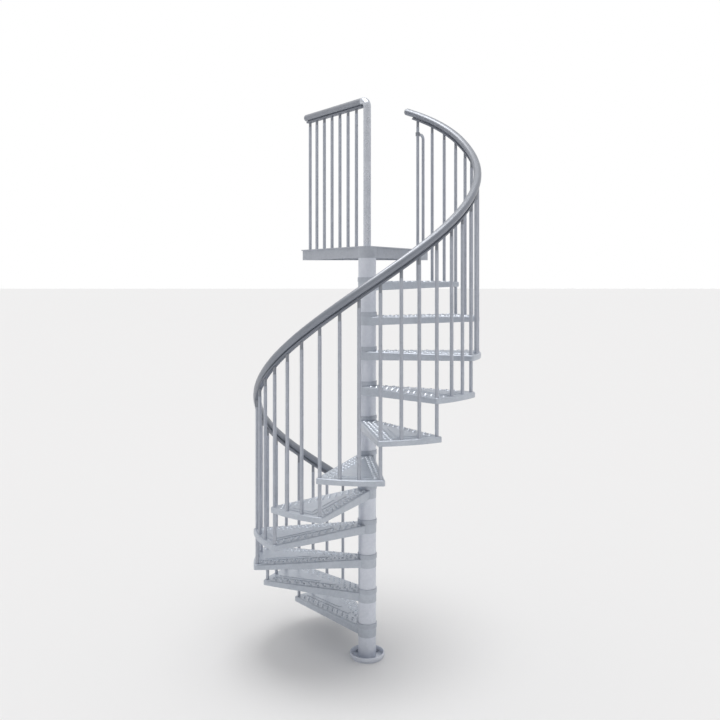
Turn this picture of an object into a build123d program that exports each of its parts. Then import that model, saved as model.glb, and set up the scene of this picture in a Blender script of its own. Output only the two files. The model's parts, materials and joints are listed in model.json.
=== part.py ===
from build123d import *
import math
import os

os.makedirs("parts", exist_ok=True)

# Spiral stair of galvanised steel, climbing counter-clockwise seen from above.
# Sizes are millimetres. The origin is on the floor, on the column's axis. Angles are
# degrees counter-clockwise from +X, and the landing lies towards +Y.

# Storey height and the turn of the stair
tread_count = 11
tread_rise = 226.0
first_rise = 202.0
landing_rise = 233.0
pitch_angle = 28.6
first_nosing_angle = 104.0

# Pressed treads
sheet = 3.0
tread_radius = 740.0
front_overlap_angle = 1.3
back_overlap_angle = 2.0
back_edge_offset = 40.0
corner_round = 14.0
edge_round = 9.0
skirt_at_hub = 57.0
skirt_at_rim = 33.0

# Column: an inner pole with hubs, collars and spacer tubes threaded on it
pole_diameter = 102.0
pole_wall = 4.0
slip_gap = 0.5
spacer_diameter = 116.0
hub_diameter = 120.0
hub_above_tread = 1.0
collar_diameter = 126.0
collar_height = 29.0

# Dished foot
foot_diameter = 228.0
foot_base_diameter = 204.0
foot_height = 37.0
foot_flare_height = 20.0
foot_wall = 4.0
foot_floor = 8.0
foot_rim = 8.0
foot_rim_round = 3.6
anchor_circle = 170.0
anchor_hole = 14.0
anchor_count = 4

# Landing
landing_depth = 76.0
deck_thickness = 8.0
deck_overhang = 8.0
landing_far_edge = 700.0
landing_left_corner = -480.0
landing_overlap_angle = 2.6
fascia_sheet = 5.0
joist_count = 2
floor_bolt_hole = 12.0
floor_bolt_across = 700.0
floor_bolt_down = 36.0

# Handrail and the flat bar under it
rail_inset = 22.0
rail_diameter = 50.0
rail_above_first_tread = 805.0
rail_rise_per_pitch = 247.8
rail_lead_angle = 2.1
easing_start_angle = 280.0
easing_end_angle = 321.0
easing_drop = 84.0
rail_end_round = 22.0
rail_cap_length = 26.0
cap_gap = 0.1
web_gap = 0.3
web_width = 12.0
web_height = 6.0
bar_width = 28.0
bar_height = 10.0
bar_start_angle = 1.0
bar_end_angle = 4.2

# Balusters
baluster_diameter = 22.0
first_baluster_angle = 9.8
second_baluster_angle = 9.0
baluster_below_tread = 22.0
hole_gap = 0.6
head_diameter = 20.0
head_height = 42.0
head_gap = 0.7

# Landing balustrade
newel_diameter = 50.0
newel_bend = 45.0
newel_stub = 7.0
newel_in_pole = 120.0
cap_thickness = 10.0
landing_rail_angle = 124.6
landing_rail_height = 961.0
landing_rail_reach = 784.0
landing_bar_end = 750.0
landing_baluster_count = 7
landing_baluster_first = 125.0
landing_baluster_spacing = 100.5
landing_end_baluster = 720.0
landing_head_height = 30.0

# Closing baluster that hooks round the last baluster of the stair
hook_x = 418.0
hook_y = 680.0
hook_below_rail = 137.0
hook_bend = 30.0
hook_clamp_diameter = 32.0
hook_clamp_height = 26.0

# Worked-out sizes
pole_radius = pole_diameter / 2
bore_radius = pole_radius + slip_gap
hub_radius = hub_diameter / 2
rail_radius = tread_radius - rail_inset
landing_top = first_rise + tread_rise * (tread_count - 1) + landing_rise
underside_drop = rail_diameter / 2 + web_height + bar_height
rail_slope = rail_rise_per_pitch / pitch_angle
full_turn_angle = 360.0
easing_length = easing_end_angle - easing_start_angle


def tread_top(number):
    """Height of a tread's walking surface; the number after the last is the landing."""
    if number > tread_count:
        return landing_top
    return first_rise + (number - 1) * tread_rise


def nosing_angle(number):
    """Direction of the baluster at a tread's front corner."""
    return first_nosing_angle + (number - 1) * pitch_angle


def rail_height(turn):
    """Height of the handrail's centre, at a turn in degrees past the first nosing."""
    height = tread_top(1) + rail_above_first_tread + rail_slope * turn
    if turn > easing_start_angle:
        height -= easing_drop * ((turn - easing_start_angle) / easing_length) ** 2
    return height


def rail_tilt(turn):
    """Angle of the handrail to the level, at a turn in degrees past the first nosing."""
    climb = rail_slope
    if turn > easing_start_angle:
        climb -= 2 * easing_drop * (turn - easing_start_angle) / easing_length ** 2
    return math.degrees(math.atan2(climb, math.radians(1) * rail_radius))


def round_axis(radius, angle, height):
    """Point at a radius, a direction and a height."""
    return Vector(radius * math.cos(math.radians(angle)), radius * math.sin(math.radians(angle)), height)


def turned_plane(angle, height=0.0, radius=0.0):
    """Level plane whose X axis points in the given direction."""
    return Plane(origin=round_axis(radius, angle, height), x_dir=round_axis(1, angle, 0), z_dir=(0, 0, 1))


def save(builder, label):
    """Name a finished piece and write it."""
    builder.part.label = label
    export_step(builder.part, f"parts/{label}.step")


# Dished foot: it flares from the floor to a rounded rim and is bolted down inside
foot_radius = foot_diameter / 2
with BuildPart() as base_foot:
    with BuildSketch(Plane.XZ):
        with BuildLine():
            Polyline(
                (0, 0), (foot_base_diameter / 2, 0), (foot_radius, foot_flare_height),
                (foot_radius, foot_height), (foot_radius - foot_rim, foot_height),
                (foot_base_diameter / 2 - foot_wall, foot_floor), (0, foot_floor), (0, 0),
            )
        make_face()
    revolve(axis=Axis.Z)
    rim_edges = base_foot.edges().group_by(Axis.Z)[-1]
    fillet(rim_edges, foot_rim_round)
    with Locations(Plane.XY.offset(foot_floor)):
        with PolarLocations(anchor_circle / 2, anchor_count, start_angle=45):
            Hole(anchor_hole / 2)
save(base_foot, "base_foot")

# Inner pole, standing in the foot and closed by a cap under the newel
with BuildPart() as inner_pole:
    with BuildSketch(Plane.XY.offset(foot_floor)):
        Circle(pole_radius)
        Circle(pole_radius - pole_wall, mode=Mode.SUBTRACT)
    extrude(amount=landing_top - cap_thickness - foot_floor)
save(inner_pole, "inner_pole")

with BuildPart() as pole_cap:
    with BuildSketch(Plane.XY.offset(landing_top - cap_thickness)):
        Circle(pole_radius)
        Circle(newel_diameter / 2 + hole_gap / 2, mode=Mode.SUBTRACT)
    extrude(amount=cap_thickness)
save(pole_cap, "pole_cap")

# Spacer tubes between the hubs, one for each rise
with BuildPart() as column_spacers:
    for number in range(1, tread_count + 2):
        hub_drop = landing_depth if number > tread_count else skirt_at_hub
        top = tread_top(number) - hub_drop
        bottom = foot_floor if number == 1 else tread_top(number - 1) + hub_above_tread + collar_height
        with BuildSketch(Plane.XY.offset(bottom)):
            Circle(spacer_diameter / 2)
            Circle(bore_radius, mode=Mode.SUBTRACT)
        extrude(amount=top - bottom)
save(column_spacers, "column_spacers")

# Collars that clamp each hub from above
with BuildPart() as hub_collars:
    for number in range(1, tread_count + 1):
        with BuildSketch(Plane.XY.offset(tread_top(number) + hub_above_tread)):
            Circle(collar_diameter / 2)
            Circle(bore_radius, mode=Mode.SUBTRACT)
        extrude(amount=collar_height)
save(hub_collars, "hub_collars")


def baluster_turns(number):
    """Turns past the first nosing of a tread's balusters: three, and one at the first tread's nosing."""
    start = (number - 1) * pitch_angle
    turns = [start + first_baluster_angle, start + first_baluster_angle + second_baluster_angle, start + pitch_angle]
    return [start, *turns] if number == 1 else turns


def tread_outline():
    """Plan of a tread along +X: its front edge touches the hub, its back edge runs in behind it."""
    front_corner = round_axis(tread_radius, -pitch_angle / 2 - front_overlap_angle, 0)
    back_corner = round_axis(tread_radius, pitch_angle / 2 + back_overlap_angle, 0)
    with BuildSketch() as outline:
        with BuildLine():
            Line((0, -hub_radius), front_corner)
            ThreePointArc(front_corner, (tread_radius, 0), back_corner)
            Polyline(back_corner, (0, back_edge_offset), (0, -hub_radius))
        make_face()
        fillet(outline.vertices().sort_by(Axis.X)[-2:], corner_round)
    return outline.sketch


# Treads: pressed trays with skirts that deepen towards the hub
skirt_slope = math.atan2(skirt_at_hub - skirt_at_rim, tread_radius)
for number in range(1, tread_count + 1):
    level = tread_top(number)
    middle = nosing_angle(number) + pitch_angle / 2
    skirt_normal = round_axis(-math.sin(skirt_slope), middle, math.cos(skirt_slope))
    skirt_line = Plane(origin=(0, 0, level - skirt_at_hub), z_dir=skirt_normal)
    with BuildPart() as tread:
        with BuildSketch(turned_plane(middle, level)):
            add(tread_outline())
        extrude(amount=-skirt_at_hub)
        split(bisect_by=skirt_line, keep=Keep.TOP)
        walked_on = tread.faces().sort_by(Axis.Z)[-1]
        fillet(walked_on.edges(), edge_round)
        with BuildPart(mode=Mode.PRIVATE) as hollow:
            with BuildSketch(turned_plane(middle, level - sheet)):
                add(tread_outline())
                offset(amount=-sheet, kind=Kind.INTERSECTION, mode=Mode.REPLACE)
            extrude(amount=-skirt_at_hub)
            fillet(hollow.faces().sort_by(Axis.Z)[-1].edges(), edge_round - sheet)
        add(hollow.part, mode=Mode.SUBTRACT)
        with BuildSketch(turned_plane(middle, level - skirt_at_rim)):
            Rectangle(tread_radius - sheet, sheet, align=(Align.MIN, Align.CENTER))
        extrude(amount=skirt_at_rim - sheet / 2)
        with BuildSketch(Plane.XY.offset(level - skirt_at_hub)):
            Circle(hub_radius)
        extrude(amount=skirt_at_hub + hub_above_tread)
        with BuildSketch(Plane.XY.offset(level - skirt_at_hub)):
            Circle(bore_radius)
        extrude(amount=skirt_at_hub + hub_above_tread, mode=Mode.SUBTRACT)
        hole_turns = sorted({(number - 1) * pitch_angle, *baluster_turns(number)})
        spots = [round_axis(rail_radius, first_nosing_angle + turn, level) for turn in hole_turns]
        with BuildSketch(Plane.XY.offset(level)):
            with Locations(*spots):
                Circle(baluster_diameter / 2 + hole_gap / 2)
        extrude(amount=-2 * sheet, mode=Mode.SUBTRACT)
    save(tread, f"tread_{number:02d}")

# Landing plan: the front edge runs like a tread's, the back edge follows its railing
landing_number = tread_count + 1
landing_middle = nosing_angle(landing_number) + pitch_angle / 2
hub_front = round_axis(hub_radius, landing_middle - 90, 0)
front_corner = round_axis(tread_radius, nosing_angle(landing_number) - landing_overlap_angle, 0)
hub_back = round_axis(hub_radius, landing_rail_angle + 90, 0)
back_corner = Vector(landing_left_corner, landing_far_edge)


def landing_plan(far_edge):
    """Corners of the landing, its front and back edges run out to a far edge."""
    far_corners = []
    for near, along in ((hub_front, front_corner), (hub_back, back_corner)):
        far_corners.append(near + (along - near) * ((far_edge - near.Y) / (along.Y - near.Y)))
    return [hub_front, *far_corners, hub_back]


# Deck plate, lying on the frame and bored for the pole and the corner baluster
with BuildPart() as landing_deck:
    with BuildSketch(Plane.XY.offset(landing_top - deck_thickness)):
        with BuildLine():
            Polyline(*landing_plan(landing_far_edge), close=True)
        make_face()
        Circle(hub_radius)
        Circle(bore_radius, mode=Mode.SUBTRACT)
    extrude(amount=deck_thickness)
    with Locations(round_axis(rail_radius, nosing_angle(landing_number), landing_top)):
        Hole(baluster_diameter / 2 + hole_gap / 2, depth=deck_thickness)
save(landing_deck, "landing_deck")

# Frame under the deck: fascia, hub and joists to the far fascia, which bolts to the floor edge
frame_height = landing_depth - deck_thickness
frame_corners = landing_plan(landing_far_edge)
far_middle = (frame_corners[1].X + frame_corners[2].X) / 2
far_length = frame_corners[1].X - frame_corners[2].X
with BuildPart() as landing_frame:
    with BuildSketch(Plane.XY.offset(landing_top - landing_depth)):
        with BuildLine():
            Polyline(*landing_plan(landing_far_edge + deck_overhang), close=True)
        make_face()
        offset(amount=-deck_overhang, kind=Kind.INTERSECTION, mode=Mode.REPLACE)
        offset(amount=-fascia_sheet, kind=Kind.INTERSECTION, mode=Mode.SUBTRACT)
        for share in range(1, joist_count + 1):
            foot_of_joist = Vector(frame_corners[2].X + far_length * share / (joist_count + 1), landing_far_edge)
            with Locations(foot_of_joist / 2):
                joist_turn = math.degrees(math.atan2(foot_of_joist.Y, foot_of_joist.X))
                Rectangle(foot_of_joist.length - 2 * fascia_sheet, fascia_sheet, rotation=joist_turn)
        Circle(hub_radius)
        Circle(bore_radius, mode=Mode.SUBTRACT)
    extrude(amount=frame_height)
    far_face = Plane(
        origin=(far_middle, landing_far_edge, landing_top - deck_thickness - frame_height / 2),
        x_dir=(-1, 0, 0), z_dir=(0, 1, 0),
    )
    with Locations(far_face):
        with GridLocations(floor_bolt_across, floor_bolt_down, 2, 2):
            Hole(floor_bolt_hole / 2, depth=2 * fascia_sheet)
save(landing_frame, "landing_frame")

# Newel: a post on the column's axis, bent over at the top into the landing rail
rail_centre = landing_top + landing_rail_height
rail_way = round_axis(1, landing_rail_angle, 0)
with BuildPart() as newel_post:
    with BuildLine() as newel_line:
        upright = Line((0, 0, landing_top - newel_in_pole), (0, 0, rail_centre - newel_bend))
        bend_end = Vector(0, 0, rail_centre) + rail_way * newel_bend
        bend = TangentArc(upright @ 1, bend_end, tangent=(0, 0, 1))
        Line(bend @ 1, bend @ 1 + rail_way * newel_stub)
    with BuildSketch(Plane.XY.offset(landing_top - newel_in_pole)):
        Circle(newel_diameter / 2)
    sweep(path=newel_line.line)
save(newel_post, "newel_post")


def rail_section():
    """Web and flat bar that run under a handrail, drawn with the rail's centre at the origin."""
    with BuildSketch() as section:
        with Locations((0, -rail_diameter / 2 - web_gap)):
            Rectangle(web_width, web_height, align=(Align.CENTER, Align.MAX))
        with Locations((0, -underside_drop)):
            Rectangle(bar_width, bar_height, align=(Align.CENTER, Align.MIN))
    return section.sketch


# Landing rail with its rounded end, and the bar under it
rail_start = newel_bend + newel_stub
with BuildPart() as landing_rail:
    with BuildSketch(Plane(origin=Vector(0, 0, rail_centre) + rail_way * rail_start, z_dir=rail_way)):
        Circle(rail_diameter / 2)
    extrude(amount=landing_rail_reach - rail_start)
    fillet(landing_rail.edges().sort_by(Axis((0, 0, 0), rail_way))[-1], rail_end_round)
save(landing_rail, "landing_rail")

level_plane = Plane(
    origin=Vector(0, 0, rail_centre) + rail_way * rail_start,
    x_dir=round_axis(1, landing_rail_angle + 90, 0), z_dir=rail_way,
)
with BuildPart() as landing_rail_bar:
    with BuildSketch(level_plane):
        add(rail_section())
    extrude(amount=landing_bar_end - rail_start)
save(landing_rail_bar, "landing_rail_bar")

# Landing balusters, each with a head screwed to the bar
bar_underside = rail_centre - underside_drop
landing_spots = [
    landing_baluster_first + landing_baluster_spacing * index for index in range(landing_baluster_count - 1)
]
landing_spots.append(landing_end_baluster)
with BuildPart() as landing_balusters:
    with BuildSketch(Plane.XY.offset(landing_top)):
        with Locations(*[rail_way * spot for spot in landing_spots]):
            Circle(baluster_diameter / 2)
    extrude(amount=bar_underside - landing_head_height - landing_top)
save(landing_balusters, "landing_balusters")

with BuildPart() as landing_baluster_heads:
    with BuildSketch(Plane.XY.offset(bar_underside - landing_head_height)):
        with Locations(*[rail_way * spot for spot in landing_spots]):
            Circle(head_diameter / 2)
    extrude(amount=landing_head_height)
save(landing_baluster_heads, "landing_baluster_heads")


def rail_point(turn, radius=rail_radius):
    """Point on the handrail's centre line, or level with it nearer the column."""
    return round_axis(radius, first_nosing_angle + turn, rail_height(turn))


def rail_tangent(turn):
    """Direction of the climbing handrail."""
    tilt = math.radians(rail_tilt(turn))
    level = round_axis(1, first_nosing_angle + turn + 90, 0)
    return level * math.cos(tilt) + Vector(0, 0, math.sin(tilt))


def rail_plane(turn):
    """Plane square to the handrail, with X towards the column and Y up."""
    return Plane(
        origin=rail_point(turn), x_dir=round_axis(-1, first_nosing_angle + turn, 0), z_dir=rail_tangent(turn)
    )


def helix_path(start_turn, end_turn):
    """Centre line of the evenly climbing length of handrail."""
    climb = rail_slope * (end_turn - start_turn)
    with BuildLine() as path:
        Helix(rail_slope * full_turn_angle, climb, rail_radius, center=(0, 0, rail_height(start_turn)))
    return path.line.rotate(Axis.Z, first_nosing_angle + start_turn)


def easing_path(end_turn, radius=rail_radius):
    """Centre line of the top length, where the climb eases off, or a line level with it."""
    steps = 8
    length = end_turn - easing_start_angle
    turns = [easing_start_angle + length * step / steps for step in range(steps + 1)]
    with BuildLine() as path:
        Spline(*[rail_point(turn, radius) for turn in turns])
    return path.line


# Handrail: a helix of tube, then a top length that eases towards the level
rail_start_turn = -rail_lead_angle
with BuildPart() as handrail:
    with BuildSketch(rail_plane(rail_start_turn)):
        Circle(rail_diameter / 2)
    sweep(path=helix_path(rail_start_turn, easing_start_angle), is_frenet=True)
save(handrail, "handrail")

with BuildPart() as handrail_top:
    with BuildSketch(rail_plane(easing_start_angle)):
        Circle(rail_diameter / 2)
    sweep(path=easing_path(easing_end_angle), binormal=easing_path(easing_end_angle, rail_radius / 2).edge())
save(handrail_top, "handrail_top")

# Domed cap in the handrail's upper end
end_plane = rail_plane(easing_end_angle)
with BuildPart() as handrail_cap:
    with BuildSketch(end_plane.offset(cap_gap)):
        Circle(rail_diameter / 2)
    extrude(amount=rail_cap_length)
    fillet(handrail_cap.edges().sort_by(Axis(end_plane.origin, end_plane.z_dir))[-1], rail_end_round)
save(handrail_cap, "handrail_cap")

with BuildPart() as handrail_bar:
    bar_start_turn = rail_start_turn + bar_start_angle
    with BuildSketch(rail_plane(bar_start_turn)):
        add(rail_section())
    sweep(path=helix_path(bar_start_turn, easing_start_angle), is_frenet=True)
save(handrail_bar, "handrail_bar")

with BuildPart() as handrail_bar_top:
    with BuildSketch(rail_plane(easing_start_angle)):
        add(rail_section())
    bar_end_turn = easing_end_angle - bar_end_angle
    sweep(path=easing_path(bar_end_turn), binormal=easing_path(bar_end_turn, rail_radius / 2).edge())
save(handrail_bar_top, "handrail_bar_top")


def bar_underside_at(turn):
    """Point straight below the handrail's centre, on the underside of the bar."""
    drop = (underside_drop + head_gap) / math.cos(math.radians(rail_tilt(turn)))
    return rail_point(turn) - Vector(0, 0, drop)


# Balusters; a tread's last one also passes through the next tread's front corner
for number in range(1, tread_count + 1):
    with BuildPart() as balusters:
        for turn in baluster_turns(number):
            bottom = tread_top(number) - baluster_below_tread
            top = bar_underside_at(turn).Z - head_height
            with BuildSketch(turned_plane(first_nosing_angle + turn, bottom, rail_radius)):
                Circle(baluster_diameter / 2)
            extrude(amount=top - bottom)
    save(balusters, f"balusters_{number:02d}")

# Heads between balusters and bar, cut to the slope of the handrail
with BuildPart() as baluster_heads:
    for number in range(1, tread_count + 1):
        for turn in baluster_turns(number):
            seat = bar_underside_at(turn)
            with BuildPart(mode=Mode.PRIVATE) as head:
                with BuildSketch(turned_plane(first_nosing_angle + turn, seat.Z - head_height, rail_radius)):
                    Circle(head_diameter / 2)
                extrude(amount=head_height + head_diameter)
                split(bisect_by=Plane(origin=seat, z_dir=rail_plane(turn).y_dir), keep=Keep.BOTTOM)
            add(head.part)
save(baluster_heads, "baluster_heads")

# Closing baluster on the landing, hooked over to the stair's last baluster and clamped
last_turn = tread_count * pitch_angle
hook_height = rail_height(last_turn) - hook_below_rail - landing_top
last_baluster = round_axis(rail_radius, first_nosing_angle + last_turn, landing_top + hook_height)
hook_foot = Vector(hook_x, hook_y, landing_top)
hook_way = (Vector(last_baluster.X, last_baluster.Y, 0) - Vector(hook_x, hook_y, 0)).normalized()
with BuildPart() as hook_baluster:
    with BuildLine() as hook_line:
        upright = Line(hook_foot, hook_foot + Vector(0, 0, hook_height - hook_bend))
        bend_end = hook_foot + Vector(0, 0, hook_height) + hook_way * hook_bend
        bend = TangentArc(upright @ 1, bend_end, tangent=(0, 0, 1))
        Line(bend @ 1, last_baluster - hook_way * (hook_clamp_diameter / 2 + head_gap))
    with BuildSketch(Plane(origin=hook_foot)):
        Circle(baluster_diameter / 2)
    sweep(path=hook_line.line)
save(hook_baluster, "hook_baluster")

with BuildPart() as hook_clamp:
    clamp_plane = Plane(origin=last_baluster - Vector(0, 0, hook_clamp_height / 2))
    with BuildSketch(clamp_plane):
        Circle(hook_clamp_diameter / 2)
        Circle(baluster_diameter / 2 + hole_gap / 2, mode=Mode.SUBTRACT)
    extrude(amount=hook_clamp_height)
save(hook_clamp, "hook_clamp")
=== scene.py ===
import json
import math

import bpy
from mathutils import Matrix, Vector


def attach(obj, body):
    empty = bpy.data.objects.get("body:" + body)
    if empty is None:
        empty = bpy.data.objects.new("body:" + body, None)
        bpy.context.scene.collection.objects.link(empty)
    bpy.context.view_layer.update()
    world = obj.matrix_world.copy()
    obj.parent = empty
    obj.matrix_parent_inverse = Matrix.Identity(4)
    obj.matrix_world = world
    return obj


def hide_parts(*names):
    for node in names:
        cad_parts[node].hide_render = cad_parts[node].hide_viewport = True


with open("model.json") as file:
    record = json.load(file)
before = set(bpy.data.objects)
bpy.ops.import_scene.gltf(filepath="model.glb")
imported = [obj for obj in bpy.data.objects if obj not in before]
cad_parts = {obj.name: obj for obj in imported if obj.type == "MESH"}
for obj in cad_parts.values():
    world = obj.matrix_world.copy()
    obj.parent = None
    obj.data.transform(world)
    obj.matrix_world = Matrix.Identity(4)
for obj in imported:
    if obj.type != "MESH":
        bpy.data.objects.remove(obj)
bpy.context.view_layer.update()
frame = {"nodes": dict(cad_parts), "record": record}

# Hot-dip galvanised spiral stair. Lengths are metres and angles degrees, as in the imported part:
# +Z up the column, +Y towards the landing, counter-clockwise climb.
mm = 0.001

# Stair
tread_count = 11
tread_rise = 226 * mm
tread_pitch = 28.6
first_nosing_angle = 104.0
first_tread_top = 202 * mm
tread_radius = 740 * mm
front_overlap = 1.3
back_overlap = 2.0
front_edge_start = -60 * mm
back_edge_start = 40 * mm
collar_radius = 63 * mm
sheet = 3 * mm
rail_radius = 718 * mm
baluster_angles = (0, 9.8, 18.8, 28.6)

# Anti-slip holes: a pressed ring with a pierced middle, in staggered rows along each radial edge
hole_radius = 6.2 * mm
ring_radius = 12.0 * mm
ring_height = 5.0 * mm
ring_shoulder = 3.6 * mm
ring_crest = 2.2 * mm
ring_lip = 0.8 * mm
ring_sunk = 0.2 * mm
ring_sides = 18
hole_pitch = 52 * mm
row_gap = 26 * mm
first_row_inset = 27 * mm
front_rows = 3
back_rows = 2
first_hole = 74 * mm
rim_margin = 25 * mm
ring_spacing = 3 * mm
baluster_clearance = 14 * mm
edge_clearance = 9 * mm

# Pressed panel in the middle of a tread: two low steps
panel_front_inset = 98 * mm
panel_back_inset = 76 * mm
step_width = 26 * mm
panel_height = 3.2 * mm
panel_near_width = 28 * mm
panel_rim_margin = 44 * mm
inner_panel_rim_margin = 74 * mm
panel_bevel = 1.6 * mm
panel_rim_steps = 10
outer_panel_sunk = 0.3 * mm
inner_panel_sunk = 0.6 * mm

# Smoothing of the pressings: steeper folds than this stay sharp
sharp_fold = math.radians(32)

# Anchors in the foot and bolts in the landing's far fascia
anchor_circle_radius = 85 * mm
anchor_count = 4
first_anchor_angle = 45
foot_floor = 8 * mm
anchor_bolt = {
    "across_flats": 19 * mm, "head_height": 7.5 * mm, "washer_radius": 11.5 * mm,
    "shank_radius": 6 * mm, "shank_length": foot_floor,
}
fascia_sheet = 5 * mm
landing_bolt_middle = (-8.68 * mm, 700 * mm, 2653 * mm)
landing_bolt_across = 700 * mm
landing_bolt_down = 36 * mm
landing_bolt = {
    "across_flats": 17 * mm, "head_height": 6.4 * mm, "washer_radius": 10.5 * mm,
    "shank_radius": 5 * mm, "shank_length": fascia_sheet,
}
washer_height = 2 * mm

# Zinc coating: the bloom drifts over this length, and the dip's orange peel, 2 to 3 mm on the real
# coating, is drawn coarser so that it shows. The crystals' size is given for each material.
bloom_size = 120 * mm
peel_size = 9 * mm
peel_depth = 0.3 * mm
lacquer_roughness = 0.46
lacquer_ior = 2.1


def linear(hex_colour):
    """Scene-linear RGBA of an sRGB hex colour."""
    channels = [int(hex_colour[i:i + 2], 16) / 255 for i in (1, 3, 5)]
    return (*[c / 12.92 if c <= 0.04045 else ((c + 0.055) / 1.055) ** 2.4 for c in channels], 1.0)


def add_node(tree, kind, settings=None, links=None):
    """New node with its settings and sockets set, and its inputs linked from other nodes' outputs."""
    node = tree.nodes.new(kind)
    for name, value in (settings or {}).items():
        if isinstance(name, str) and hasattr(node, name):
            setattr(node, name, value)
        else:
            node.inputs[name].default_value = value
    for name, source in (links or {}).items():
        tree.links.new(source, node.inputs[name])
    return node


def new_material(name):
    """Empty node material with its output."""
    material = bpy.data.materials.new(name)
    material.use_nodes = True
    tree = material.node_tree
    tree.nodes.clear()
    return material, tree, tree.nodes.new("ShaderNodeOutputMaterial")


def deselect():
    """Nothing selected, so that an operator acts on what comes next alone."""
    bpy.ops.object.select_all(action="DESELECT")


def choose(piece):
    """Only this piece selected and active."""
    deselect()
    piece.select_set(True)
    bpy.context.view_layer.objects.active = piece


def zinc(name, dark, light, rough_low, rough_high, spangle_mm, metallic, contrast=0.3, lacquer=0.0):
    """Hot-dip zinc: crystals of slightly different grey and gloss, a cloudy bloom, lacquered or bare.

    Metallic stays under 1, because weathered zinc carries a matt film of carbonate. The bolts' plating
    and the moulded fittings are made here too, in their own tones.
    """
    material, tree, output = new_material(name)
    place = add_node(tree, "ShaderNodeTexCoord")
    crystals = add_node(
        tree, "ShaderNodeTexVoronoi", {"Scale": 1 / (spangle_mm * mm), "Randomness": 1.0},
        {"Vector": place.outputs["Object"]},
    )
    cloud = add_node(
        tree, "ShaderNodeTexNoise", {"Scale": 1 / bloom_size, "Detail": 4.0, "Roughness": 0.55},
        {"Vector": place.outputs["Object"]},
    )
    crystal_value = add_node(tree, "ShaderNodeSeparateColor", links={"Color": crystals.outputs["Color"]})
    blend = add_node(
        tree, "ShaderNodeMath", {"operation": "MULTIPLY_ADD", 1: contrast},
        {0: crystal_value.outputs["Red"], 2: cloud.outputs["Fac"]},
    )
    tone = add_node(
        tree, "ShaderNodeMapRange", {"From Min": 0.35, "From Max": 0.65 + contrast},
        {"Value": blend.outputs[0]},
    )
    colour = add_node(
        tree, "ShaderNodeMix", {"data_type": "RGBA", 6: linear(dark), 7: linear(light)},
        {0: tone.outputs["Result"]},
    )
    roughness = add_node(
        tree, "ShaderNodeMapRange", {"To Min": rough_low, "To Max": rough_high},
        {"Value": crystal_value.outputs["Green"]},
    )
    peel = add_node(
        tree, "ShaderNodeTexNoise", {"Scale": 1 / peel_size, "Detail": 2.0},
        {"Vector": place.outputs["Object"]},
    )
    bump = add_node(
        tree, "ShaderNodeBump", {"Strength": 0.06, "Distance": peel_depth}, {"Height": peel.outputs["Fac"]}
    )
    shader = add_node(
        tree, "ShaderNodeBsdfPrincipled",
        {
            "Metallic": metallic, "Coat Weight": lacquer,
            "Coat Roughness": lacquer_roughness, "Coat IOR": lacquer_ior,
        },
        {
            "Base Color": colour.outputs[2], "Roughness": roughness.outputs["Result"],
            "Normal": bump.outputs["Normal"],
        },
    )
    tree.links.new(shader.outputs[0], output.inputs["Surface"])
    return material


# Steel, hot-dip galvanised: the column, the foot and plain parts, pale blue-grey, satin, faintly spangled
galvanised = zinc("hot_dip_zinc", "#D0D5DF", "#DCE0E9", 0.36, 0.46, 14, 0.45)
# Drawn tube, galvanised: the balusters, a greyer zinc with an even sheen
tube_zinc = zinc("baluster_zinc", "#ABB0BA", "#B9BEC8", 0.34, 0.44, 14, 0.5)
# Folded plate, galvanised: the landing, the dullest zinc
landing_zinc = zinc("landing_zinc", "#ABB0B9", "#B7BCC5", 0.42, 0.52, 16, 0.3)
# Pressed sheet, galvanised: the treads, fine crystals
tread_zinc = zinc("pressed_tread_zinc", "#B6BDC7", "#C4CAD3", 0.36, 0.44, 12, 0.5)
# The pressed rings, glossier than the sheet so that they glint: their lighter zinc is a painted highlight
ring_painted_glint = zinc("painted_glint_rings", "#CFD5DD", "#DBE0E7", 0.28, 0.36, 8, 0.8)
# Castings, galvanised: the collars, a little darker than the column
collar_zinc = zinc("collar_zinc", "#B0B6C0", "#BCC2CC", 0.36, 0.46, 10, 0.4)
# Smooth drawn tube, galvanised: the newel, the glossiest bare zinc
bright_zinc = zinc("bright_zinc_tube", "#C6CBD4", "#D6DAE2", 0.26, 0.36, 20, 0.7)
# Handrail tube under a blue-grey lacquer: a darker body with a broad bright line along it
lacquered = zinc("lacquered_rail", "#656D7B", "#6F7785", 0.34, 0.42, 26, 0.25, 0.15, 1.0)
# Rolled bar: the flat bar and its web under the rail, matt, its zinc darkened as painted shade under the
# tube
under_rail_painted_shade = zinc("painted_shade_rail_underbar", "#777C86", "#828792", 0.42, 0.52, 18, 0.2, 0.2)
# Moulded fittings between balusters and rail: plain mid grey
dark_fitting = zinc("dark_fitting", "#8A8E96", "#959AA2", 0.4, 0.5, 20, 0.2, 0.15)
# Electroplated zinc on bolts and washers: a little darker and glossier
bolt_zinc = zinc("bolt_zinc", "#9DA3AD", "#B4BAC4", 0.3, 0.4, 6, 0.7)

slot_materials = {
    "galvanised_steel": galvanised,
    "rail_tube": lacquered,
    # The bar under the rail: zinc darkened as painted shade
    "rail_bar": under_rail_painted_shade,
    "dark_fittings": dark_fitting,
}
slot_of = {row["node"]: row["material_slot"] for row in frame["record"]["subparts"]}


def dress(piece, material):
    """One material all over a piece."""
    piece.data.materials.clear()
    piece.data.materials.append(material)


for node_name, node in frame["nodes"].items():
    for index in range(len(node.material_slots)):
        node.material_slots[index].material = slot_materials[slot_of[node_name]]
own_zinc = {
    "newel_post": bright_zinc, "hub_collars": collar_zinc,
    "landing_deck": landing_zinc, "landing_frame": landing_zinc,
    **{name: tube_zinc for name in frame["nodes"] if "baluster" in name and "heads" not in name},
}
for node_name, material in own_zinc.items():
    for index in range(len(frame["nodes"][node_name].material_slots)):
        frame["nodes"][node_name].material_slots[index].material = material


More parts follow.
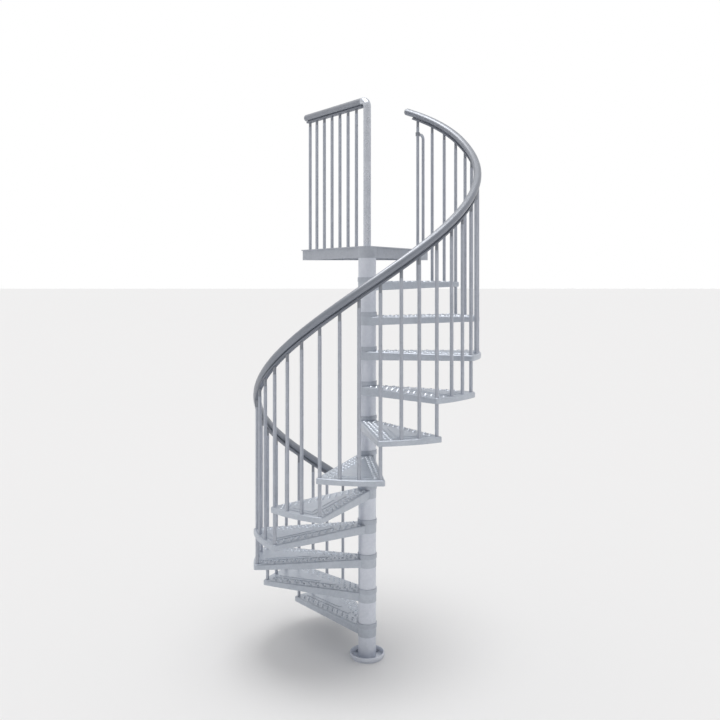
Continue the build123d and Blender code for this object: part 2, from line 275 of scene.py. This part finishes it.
def keep(piece, name):
    """Names a finished piece and hangs it on the stair."""
    piece.name = name
    piece.data.name = name
    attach(piece, "root")
    return piece


def tread_angle(number):
    """Direction of a tread's middle line."""
    return first_nosing_angle + (number - 0.5) * tread_pitch


def to_tread(number):
    """From a tread lying along +X with its top at zero to its place in the stair."""
    height = first_tread_top + (number - 1) * tread_rise
    return Matrix.Translation((0, 0, height)) @ Matrix.Rotation(math.radians(tread_angle(number)), 4, "Z")


def copied_mesh(source, name):
    """Object at the origin with its own copy of a mesh."""
    piece = bpy.data.objects.new(name, source.data.copy())
    bpy.context.scene.collection.objects.link(piece)
    return piece


def polar(radius, degrees):
    """Plan point at a radius and a direction."""
    return Vector((radius * math.cos(math.radians(degrees)), radius * math.sin(math.radians(degrees))))


# Plan of one tread along +X: each radial edge as its start, its way and the way in from it
front_corner = polar(tread_radius, -tread_pitch / 2 - front_overlap)
back_corner = polar(tread_radius, tread_pitch / 2 + back_overlap)
front_start = Vector((0, front_edge_start))
back_start = Vector((0, back_edge_start))
front_way = (front_corner - front_start).normalized()
back_way = (back_corner - back_start).normalized()
front_edge = (front_start, front_way, Vector((-front_way.y, front_way.x)))
back_edge = (back_start, back_way, Vector((back_way.y, -back_way.x)))
baluster_spots = [polar(rail_radius, angle - tread_pitch / 2) for angle in baluster_angles]


def inset_from(edge, spot):
    """Distance of a point from a radial edge."""
    start, _, inward = edge
    return (spot - start).dot(inward)


def hole_spots():
    """Centres of the holes: staggered rows beside each radial edge, clear of each other."""
    spots = []
    for (start, way, inward), rows in ((back_edge, back_rows), (front_edge, front_rows)):
        for row in range(rows):
            along = first_hole + row % 2 * hole_pitch / 2
            while along < tread_radius:
                spot = start + way * along + inward * (first_row_inset + row * row_gap)
                along += hole_pitch
                clear = all((spot - other).length > 2 * ring_radius + ring_spacing for other in spots)
                near_baluster = min((spot - hole).length for hole in baluster_spots)
                near_edge = min(inset_from(front_edge, spot), inset_from(back_edge, spot))
                clear = clear and near_baluster > ring_radius + baluster_clearance
                clear = clear and near_edge > ring_radius + edge_clearance
                if clear and collar_radius + ring_radius < spot.length < tread_radius - rim_margin:
                    spots.append(spot)
    return spots


def pressed_ring():
    """Ring pressed up round a pierced hole, its foot let a little into the sheet."""
    profile = [
        (ring_radius, -ring_sunk), (hole_radius + ring_shoulder, 0.72 * ring_height),
        (hole_radius + ring_crest, ring_height), (hole_radius + ring_lip, 0.9 * ring_height),
        (hole_radius, -ring_sunk),
    ]
    bpy.ops.mesh.primitive_circle_add(vertices=len(profile), radius=1 * mm)
    ring = bpy.context.object
    for vertex, (radius, height) in zip(ring.data.vertices, profile):
        vertex.co = (radius, 0, height)
    choose(ring)
    bpy.ops.object.mode_set(mode="EDIT")
    bpy.ops.mesh.select_all(action="SELECT")
    bpy.ops.mesh.spin(steps=ring_sides, angle=2 * math.pi, center=(0, 0, 0), axis=(0, 0, 1))
    bpy.ops.mesh.select_all(action="SELECT")
    bpy.ops.mesh.remove_doubles(threshold=0.01 * mm)
    bpy.ops.mesh.normals_make_consistent(inside=False)
    bpy.ops.object.mode_set(mode="OBJECT")
    return ring


def joined(pieces, name):
    """Several objects joined into the first."""
    deselect()
    for piece in pieces:
        piece.select_set(True)
    bpy.context.view_layer.objects.active = pieces[0]
    bpy.ops.object.join()
    pieces[0].name = name
    return pieces[0]


def scattered(source, spots, height, name):
    """Copies of a small mesh at each spot, joined."""
    copies = []
    for spot in spots:
        copy = copied_mesh(source, name)
        copy.data.transform(Matrix.Translation((spot.x, spot.y, height)))
        copies.append(copy)
    return joined(copies, name)


def edge_crossing(edge, inset, radius):
    """Point on a line beside a radial edge, where it crosses a circle round the column."""
    start, way, inward = edge
    origin = start + inward * inset
    half = origin.dot(way)
    return origin + way * (math.sqrt(half * half - origin.length_squared + radius * radius) - half)


def near_end(front_inset, back_inset):
    """Radius at which lines beside both edges have come apart by the width of a panel's near end."""
    radius = max(front_inset, back_inset)
    while True:
        front = edge_crossing(front_edge, front_inset, radius)
        back = edge_crossing(back_edge, back_inset, radius)
        if (back - front).y > panel_near_width:
            return radius
        radius += 1 * mm


def pressed_panel(step, margin, base, name):
    """Low wedge with eased edges and an arched outer end, pressed up in the middle of a tread."""
    front_inset = panel_front_inset + step
    back_inset = panel_back_inset + step
    far_radius = tread_radius - margin
    front_far = edge_crossing(front_edge, front_inset, far_radius)
    back_far = edge_crossing(back_edge, back_inset, far_radius)
    steps = panel_rim_steps
    front_turn = math.degrees(math.atan2(front_far.y, front_far.x))
    back_turn = math.degrees(math.atan2(back_far.y, back_far.x))
    rim = [polar(far_radius, front_turn + (back_turn - front_turn) * i / steps) for i in range(steps + 1)]
    near_radius = near_end(front_inset, back_inset)
    near_front = edge_crossing(front_edge, front_inset, near_radius)
    near_back = edge_crossing(back_edge, back_inset, near_radius)
    outline = [near_front, *rim, near_back]
    bpy.ops.mesh.primitive_circle_add(vertices=len(outline), radius=1 * mm, fill_type="NGON")
    panel = bpy.context.object
    for vertex, point in zip(panel.data.vertices, outline):
        vertex.co = (point.x, point.y, base)
    choose(panel)
    bpy.ops.object.mode_set(mode="EDIT")
    bpy.ops.mesh.select_all(action="SELECT")
    bpy.ops.mesh.extrude_region_move(TRANSFORM_OT_translate={"value": (0, 0, panel_height)})
    bpy.ops.mesh.select_all(action="SELECT")
    bpy.ops.mesh.normals_make_consistent(inside=False)
    bpy.ops.object.mode_set(mode="OBJECT")
    bevel = panel.modifiers.new("eased_edge", "BEVEL")
    bevel.width = panel_bevel
    bevel.segments = 2
    bevel.limit_method = "ANGLE"
    bevel.angle_limit = math.radians(50)
    choose(panel)
    bpy.ops.object.modifier_apply(modifier=bevel.name)
    panel.name = name
    return panel


def punched(node_name, number, cutter):
    """Copy of a tread, lying along +X, with the anti-slip holes cut through its sheet."""
    tread = copied_mesh(frame["nodes"][node_name], "tray")
    tread.data.transform(to_tread(number).inverted())
    choose(tread)
    bpy.ops.object.mode_set(mode="EDIT")
    bpy.ops.mesh.select_all(action="SELECT")
    bpy.ops.mesh.remove_doubles(threshold=0.01 * mm)
    bpy.ops.mesh.normals_make_consistent(inside=False)
    bpy.ops.object.mode_set(mode="OBJECT")
    cut = tread.modifiers.new("holes", "BOOLEAN")
    cut.operation = "DIFFERENCE"
    cut.solver = "EXACT"
    cut.object = cutter
    bpy.ops.object.modifier_apply(modifier=cut.name)
    return tread


# One cutter, one set of rings and one pair of panels serve every tread, and so does one punched tray
spots = hole_spots()
bpy.ops.mesh.primitive_cylinder_add(vertices=ring_sides, radius=hole_radius, depth=4 * sheet)
pin = bpy.context.object
cutter = scattered(pin, spots, 0, "hole_cutter")
ring = pressed_ring()
rings = scattered(ring, spots, 0, "rings")
outer_panel = pressed_panel(0, panel_rim_margin, -outer_panel_sunk, "outer_panel")
inner_base = panel_height - inner_panel_sunk
inner_panel = pressed_panel(step_width, inner_panel_rim_margin, inner_base, "inner_panel")
# The rings take the lighter zinc, a painted highlight; the panels take the tread's zinc
dress(rings, ring_painted_glint)
for panel in (outer_panel, inner_panel):
    dress(panel, tread_zinc)
relief = joined([rings, outer_panel, inner_panel], "relief")

tray = punched("tread_02", 2, cutter)
dress(tray, tread_zinc)
for number in range(1, tread_count + 1):
    plate = copied_mesh(tray, "plate")
    pressing = copied_mesh(relief, "pressing")
    tread = joined([plate, pressing], f"pressed_tread_{number:02d}")
    tread.data.transform(to_tread(number))
    choose(tread)
    bpy.ops.object.shade_smooth_by_angle(angle=sharp_fold)
    even = tread.modifiers.new("even_shading", "WEIGHTED_NORMAL")
    even.keep_sharp = True
    bpy.ops.object.modifier_apply(modifier=even.name)
    keep(tread, f"pressed_tread_{number:02d}")
    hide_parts(f"tread_{number:02d}")
for helper in (pin, cutter, ring, relief, tray):
    bpy.data.objects.remove(helper)


def bolt(across_flats, head_height, washer_radius, shank_radius, shank_length):
    """Hexagon bolt with its washer, standing at the origin with the shank down."""
    sizes = (
        (6, across_flats / math.sqrt(3), head_height, washer_height + head_height / 2),
        (24, washer_radius, washer_height, washer_height / 2),
        (16, shank_radius, shank_length, -shank_length / 2),
    )
    parts = []
    for sides, radius, depth, height in sizes:
        bpy.ops.mesh.primitive_cylinder_add(vertices=sides, radius=radius, depth=depth)
        part = bpy.context.object
        part.data.transform(Matrix.Translation((0, 0, height)))
        parts.append(part)
    return joined(parts, "bolt")


def bolted(source, places, name):
    """Copies of a bolt at several places, joined and hung on the stair."""
    copies = []
    for place in places:
        copy = copied_mesh(source, name)
        copy.data.transform(place)
        copies.append(copy)
    group = joined(copies, name)
    dress(group, bolt_zinc)
    keep(group, name)
    bpy.data.objects.remove(source)


anchor_places = []
for index in range(anchor_count):
    spot = polar(anchor_circle_radius, first_anchor_angle + 360 * index / anchor_count)
    anchor_places.append(Matrix.Translation((spot.x, spot.y, foot_floor)))
bolted(bolt(**anchor_bolt), anchor_places, "foot_anchor_bolts")

middle_x, far_y, middle_z = landing_bolt_middle
facing = Matrix.Rotation(math.radians(90), 4, "X")
landing_places = []
for side in (-1, 1):
    for up in (-1, 1):
        across = middle_x + side * landing_bolt_across / 2
        height = middle_z + up * landing_bolt_down / 2
        landing_places.append(Matrix.Translation((across, far_y - fascia_sheet, height)) @ facing)
bolted(bolt(**landing_bolt), landing_places, "landing_floor_bolts")

# Plain pale floor
bpy.ops.mesh.primitive_plane_add(size=400, location=(0, 0, 0))
floor = bpy.context.object
floor.name = "floor"
floor_material, tree, output = new_material("pale_floor")
floor_shader = add_node(
    tree, "ShaderNodeBsdfPrincipled",
    {"Base Color": linear("#EEEEEE"), "Roughness": 0.9, "Specular IOR Level": 0.0},
)
tree.links.new(floor_shader.outputs[0], output.inputs["Surface"])
dress(floor, floor_material)

# Studio round the stair: lighter behind than in front, and white where the camera sees it
world = bpy.data.worlds.new("studio")
bpy.context.scene.world = world
world.use_nodes = True
tree = world.node_tree
tree.nodes.clear()
world_output = tree.nodes.new("ShaderNodeOutputWorld")
light_path = add_node(tree, "ShaderNodeLightPath")
direction = add_node(tree, "ShaderNodeTexCoord")
split_way = add_node(tree, "ShaderNodeSeparateXYZ", links={0: direction.outputs["Generated"]})
front_to_back = add_node(
    tree, "ShaderNodeMapRange", {"From Min": -1.0, "From Max": 1.0, "To Min": 0.52, "To Max": 0.86},
    {"Value": split_way.outputs["Y"]},
)
fill = add_node(
    tree, "ShaderNodeBackground", {"Color": linear("#FFFEFE")},
    {"Strength": front_to_back.outputs["Result"]},
)
white = add_node(tree, "ShaderNodeBackground", {"Color": (1, 1, 1, 1), "Strength": 1.0})
seen = add_node(
    tree, "ShaderNodeMixShader",
    links={0: light_path.outputs["Is Camera Ray"], 1: fill.outputs[0], 2: white.outputs[0]},
)
tree.links.new(seen.outputs[0], world_output.inputs["Surface"])

# One very broad soft box overhead: it alone gives the shadow under the stair
key_way = Vector((0.10, -0.12, 0.98))
key = bpy.data.lights.new("soft_box", "SUN")
key.energy = 1.05
key.angle = math.radians(30)
key_holder = bpy.data.objects.new("soft_box", key)
bpy.context.scene.collection.objects.link(key_holder)
key_holder.location = (0, -1, 6)
key_holder.rotation_euler = key_way.to_track_quat("Z", "Y").to_euler()

# Ceiling panel that shows only in the gloss: it draws the bright line along the handrail
panel_place = Vector((-1.7, -0.3, 7.0))
panel_aim = Vector((0.1, -0.5, 2.0))
panel_light = bpy.data.lights.new("ceiling_panel", "AREA")
panel_light.size = 2.4
panel_light.energy = 150
panel_holder = bpy.data.objects.new("ceiling_panel", panel_light)
bpy.context.scene.collection.objects.link(panel_holder)
panel_holder.location = panel_place
panel_holder.rotation_euler = (panel_place - panel_aim).to_track_quat("Z", "Y").to_euler()
panel_holder.visible_diffuse = False

# Camera as the photograph was taken: level, a lens shift for the low framing
lens_mm = 42.32
camera_place = (-0.0472, -5.560, 2.484)
camera = bpy.data.cameras.new("camera")
camera.sensor_width = 36
camera.lens = lens_mm
camera.shift_y = -0.1132
camera.clip_start = 0.05
camera.clip_end = 1000
camera_holder = bpy.data.objects.new("camera", camera)
bpy.context.scene.collection.objects.link(camera_holder)
camera_holder.location = camera_place
camera_holder.rotation_euler = (math.radians(90), 0, 0)
bpy.context.scene.camera = camera_holder
bpy.context.scene.view_settings.view_transform = "Standard"
